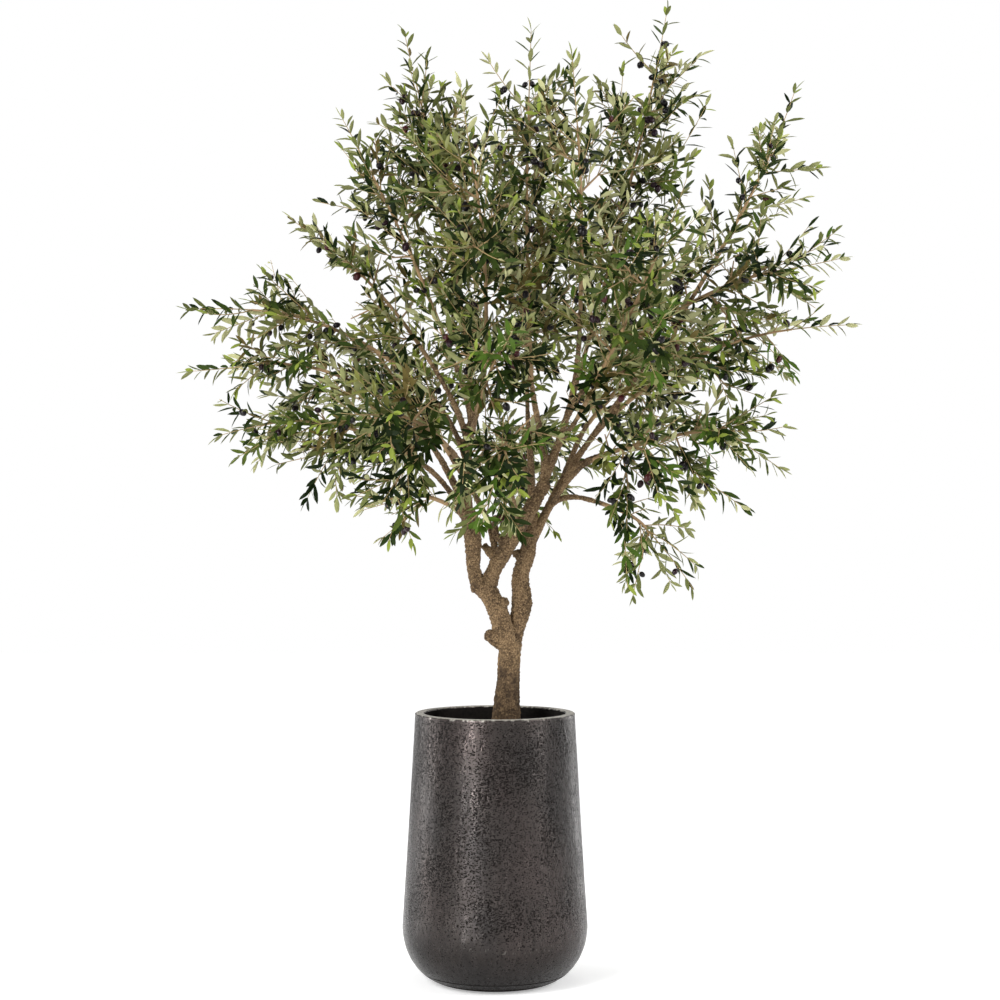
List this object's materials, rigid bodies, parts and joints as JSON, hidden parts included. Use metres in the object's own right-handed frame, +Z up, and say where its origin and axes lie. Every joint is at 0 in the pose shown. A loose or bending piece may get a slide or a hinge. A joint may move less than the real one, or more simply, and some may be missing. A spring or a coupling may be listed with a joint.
{
  "type": "artificial olive tree in a tall planter",
  "caption": "Artificial olive tree with a low forked trunk and a full crown of slim leaves and dark olives, standing in a tall tapered planter with a pitted dark metallic finish.",
  "frame": {"origin": "centre of the planter's flat underside", "axes": "+Z up along the planter's axis; the tree's front, as pictured, faces -Y, with +X to the right"},
  "size_m": [2.0538, 1.5092, 2.947],
  "materials": {
    "planter": "dark bronze-black metallic glaze, finely pitted, with a worn pale rim",
    "fill": "dark granular ballast with a dull top",
    "bark": "rough sandy-brown bark",
    "foliage": "satin olive leaves, dark green above and silvery below, with glossy near-black olives"
  },
  "bodies": {
    "root": {"back_leader": "bark", "back_left_bough": "bark", "back_left_foliage": "foliage", "back_low_bough": "bark", "back_low_foliage": "foliage", "back_right_bough": "bark", "back_right_foliage": "foliage", "back_upper_foliage": "foliage", "fill": "fill", "front_leader": "bark", "front_left_bough": "bark", "front_left_foliage": "foliage", "front_low_foliage": "foliage", "front_middle_bough": "bark", "front_middle_foliage": "foliage", "front_right_bough": "bark", "front_right_foliage": "foliage", "front_top_bough": "bark", "front_top_foliage": "foliage", "front_upper_bough": "bark", "front_upper_foliage": "foliage", "left_arm": "bark", "left_bottom_bough": "bark", "left_bottom_foliage": "foliage", "left_leader": "bark", "left_limb": "bark", "left_low_bough": "bark", "left_low_foliage": "foliage", "left_outer_bough": "bark", "left_outer_foliage": "foliage", "left_shoulder_bough": "bark", "left_shoulder_foliage": "foliage", "left_top_bough": "bark", "left_top_foliage": "foliage", "left_upper_bough": "bark", "left_upper_foliage": "foliage", "mid_leader": "bark", "planter": "planter", "right_arm": "bark", "right_bough": "bark", "right_hanging_bough": "bark", "right_hanging_foliage": "foliage", "right_leader": "bark", "right_limb": "bark", "right_low_bough": "bark", "right_low_foliage": "foliage", "right_middle_bough": "bark", "right_middle_foliage": "foliage", "right_outer_foliage": "foliage", "right_skirt_bough": "bark", "right_skirt_foliage": "foliage", "right_upper_bough": "bark", "right_upper_foliage": "foliage", "top_centre_foliage": "foliage", "top_left_foliage": "foliage", "top_right_foliage": "foliage", "trunk": "bark"}
  },
  "joints": []
}
